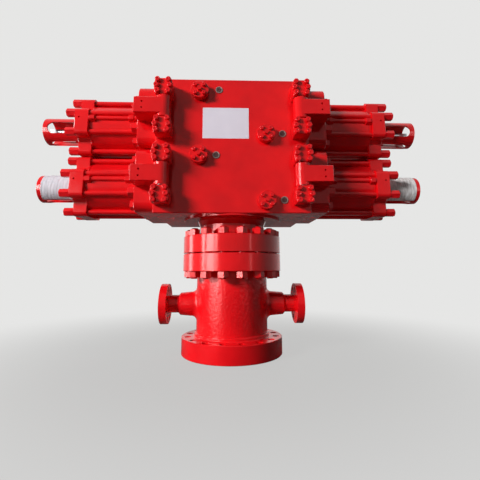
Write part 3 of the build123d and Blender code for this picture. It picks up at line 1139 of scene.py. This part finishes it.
    def head_nuts(self) -> bpy.types.Object:
        """Make the long nuts that hold the tie rods in the cylinder's head.

        Returns:
            The piece that holds them all.
        """
        piece = Piece(f"{self.name}_tie_rod_nuts")
        nut, tip = self.rod_nut.form(), self.rod_tip.form()
        for y, z in self.quadrants(self.rods):
            piece.place(nut, self.outward(self.head_face, y, z, self.rod_nut_turn))
            piece.place(tip, self.outward(self.head_face, y, z))
        return piece.finish(BOLT_ENAMEL, self.body, Slot.RED)

    def tube_unions(self) -> bpy.types.Object:
        """Make the unions at both ends of the oil tube.

        Returns:
            The piece that holds both.
        """
        piece, nut = Piece(f"{self.name}_tube_unions"), self.union_nut.form()
        y, z = self.tube[0], self.level + self.tube[1]
        for reach, way, stem in zip((self.bonnet_face, self.head_inner), (1, -1), self.union_stems):
            axis = (way * self.side, 0, 0)
            piece.place(self.union_collar(stem), facing((self.side * reach, y, z), axis))
            piece.place(nut, facing((self.side * (reach + way * stem), y, z), axis))
        return piece.finish(BOLT_ENAMEL, self.body, Slot.RED)

    def union_collar(self, stem: float) -> Form:
        """Make the round collar between a union's nut and the wall it is screwed into.

        Args:
            stem: length that shows between the wall and the nut.

        Returns:
            The collar, standing on z = 0 with the tube's hole through it.
        """
        bore, out, end = self.union_nut.bore, self.collar_radius, stem + self.collar_lap
        foot, rise = out + self.collar_foot[0], self.collar_foot[1]
        rings = rounds((bore, 0), (foot, 0), (foot, rise))
        rings += rounds((out, rise + self.collar_fillet), (out, end), (bore, end))
        return turned(rings, closed=True)

    def seals(self) -> list[bpy.types.Object]:
        """Make the ram's packer and the bonnet's face seal.

        Returns:
            The packer and the seal.
        """
        made = []
        rings = (
            ("ram_packer", self.packer, self.packer_start),
            ("bonnet_seal", self.face_seal, self.face_seal_start),
        )
        for name, ring, start in rings:
            piece = Piece(f"{self.name}_{name}")
            piece.place(ring.form(), self.outward(start, 0, self.level))
            made.append(piece.finish(RUBBER, self.body))
        return made


@dataclass(frozen=True)
class SoftLamp:
    """A rectangular soft lamp, hung round the preventer and facing its middle.

    Its azimuth is degrees from the front towards the left, its sizes are metres
    and its power is watts. A pane is seen only in the gloss, as a studio's white
    boards are, so that the plain lights make no glare of their own.
    """

    name: str
    azimuth: float
    distance: float
    height: float
    size: tuple[float, float]
    power: float
    role: LampRole = LampRole.LIGHT
    aim: float = 0.95

    def hang(self) -> None:
        """Make the lamp and put it in its place."""
        turn = math.radians(self.azimuth)
        at = Vector((-self.distance * math.sin(turn), -self.distance * math.cos(turn), self.height))
        data = bpy.data.lights.new(self.name, "AREA")
        data.shape = "RECTANGLE"
        data.size, data.size_y = self.size
        data.energy = self.power
        lamp = bpy.data.objects.new(self.name, data)
        lamp.location = at
        lamp.visible_diffuse = self.role is LampRole.LIGHT
        lamp.visible_glossy = self.role is LampRole.PANE
        lamp.rotation_euler = (Vector((0, 0, self.aim)) - at).to_track_quat("-Z", "Y").to_euler()
        bpy.context.scene.collection.objects.link(lamp)


@dataclass
class Studio:
    """Floor, lamps, background and the camera."""

    eye: Place = (-21.6, -2294.2, 550.6)
    yaw: float = 0.0346
    pitch: float = 0.1704
    roll: float = -0.0035
    focal_pixels: float = 322.49
    frame_pixels: float = 480.0
    centre_row: float = 213.5
    sensor: float = 36.0
    floor_size: float = 40.0
    floor_cells: int = 8
    sky: str = "#eceef2"
    sky_strength: float = 0.028
    lamps: tuple[SoftLamp, ...] = (
        SoftLamp("key_lamp", 51.5, 10.5, 4.8, (3.2, 2.0), 1610),
        SoftLamp("wide_pane", 49.5, 5.5, 1.55, (1.75, 3.0), 400, LampRole.PANE),
        SoftLamp("inner_pane", 36.0, 9.5, 1.6, (0.75, 3.1), 150, LampRole.PANE),
        SoftLamp("outer_pane", 66.0, 4.0, 1.55, (0.5, 3.0), 110, LampRole.PANE),
        SoftLamp("side_pane", 106.0, 4.0, 1.55, (0.9, 3.0), 60, LampRole.PANE),
        SoftLamp("right_strip", -41.0, 5.6, 1.7, (0.12, 3.0), 14, LampRole.PANE),
        SoftLamp("top_lamp", 40.0, 1.0, 5.2, (3.0, 2.5), 20),
        SoftLamp("back_lamp", 226.0, 4.8, 3.0, (3.0, 2.0), 150),
    )

    def build(self) -> list[bpy.types.Object]:
        """Set the stage.

        Returns:
            The floor.
        """
        floor = self.floor()
        self.world()
        for lamp in self.lamps:
            lamp.hang()
        self.camera()
        return [floor]

    def floor(self) -> bpy.types.Object:
        """Lay the floor under the spool.

        Returns:
            The floor.
        """
        form = bmesh.new()
        cells = self.floor_cells
        bmesh.ops.create_grid(form, x_segments=cells, y_segments=cells, size=self.floor_size / 2)
        data = bpy.data.meshes.new("studio_floor")
        form.to_mesh(data)
        form.free()
        data.materials.append(PALE_FLOOR.material())
        floor = bpy.data.objects.new("studio_floor", data)
        bpy.context.scene.collection.objects.link(floor)
        return floor

    def world(self) -> None:
        """Make a plain pale background over a softer light."""
        world = bpy.data.worlds.new("studio_sky")
        world.use_nodes = True
        tree = world.node_tree
        tree.nodes.clear()
        path = add(tree, "ShaderNodeLightPath").outputs
        seen = path["Is Camera Ray"]
        for ray in ("Is Glossy Ray", "Is Transmission Ray"):
            seen = add(tree, "ShaderNodeMath", {0: seen, 1: path[ray]}, operation="MAXIMUM").outputs[0]
        skies = {0: seen}
        for number, (colour, strength) in enumerate(((self.sky, self.sky_strength), (BACKDROP, 1.0)), 1):
            light = {"Color": linear(colour), "Strength": strength}
            skies[number] = add(tree, "ShaderNodeBackground", light).outputs[0]
        mixed = add(tree, "ShaderNodeMixShader", skies)
        add(tree, "ShaderNodeOutputWorld", {"Surface": mixed.outputs[0]})
        bpy.context.scene.world = world

    def camera(self) -> None:
        """Put the camera where the photograph was taken from."""
        flat = math.cos(self.pitch)
        forward = Vector((math.sin(self.yaw) * flat, math.cos(self.yaw) * flat, math.sin(self.pitch)))
        level = Vector((math.cos(self.yaw), -math.sin(self.yaw), 0))
        above = level.cross(forward)
        right = math.cos(self.roll) * level + math.sin(self.roll) * above
        above = right.cross(forward)
        data = bpy.data.cameras.new("view")
        data.sensor_width = self.sensor
        data.lens = self.focal_pixels / self.frame_pixels * self.sensor
        data.shift_y = (self.centre_row - self.frame_pixels / 2) / self.frame_pixels
        camera = bpy.data.objects.new("view", data)
        turn = Matrix((right, above, -forward)).transposed().to_4x4()
        camera.matrix_world = Matrix.Translation(Vector(self.eye) * MM) @ turn
        bpy.context.scene.collection.objects.link(camera)
        bpy.context.scene.camera = camera
        bpy.context.scene.view_settings.view_transform = "Standard"


def main() -> None:
    """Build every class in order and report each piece."""
    logging.basicConfig(level=logging.INFO, format="%(name)s: %(message)s")
    assemblies = [
        Studio(),
        FlangeJoint(),
        HingeSeats(),
        FrontFace(),
        Door(Side.LEFT, UPPER_LEVEL, "upper_left"),
        Door(Side.RIGHT, UPPER_LEVEL, "upper_right"),
        Door(Side.LEFT, LOWER_LEVEL, "lower_left", Wrap(WHITE_WRAP)),
        # The guard in shade gets the copy of the film whose colour is lifted against its shade, which is
        # painted light.
        Door(Side.RIGHT, LOWER_LEVEL, "lower_right", Wrap(WRAP_LIFTED_FOR_SHADE)),
    ]
    for assembly in assemblies:
        for made in assembly.build():
            finish = made.material_slots[0].material.name
            REPORT.info("%s: %s, %d faces", made.name, finish, len(made.data.polygons))


if __name__ == "__main__":
    main()
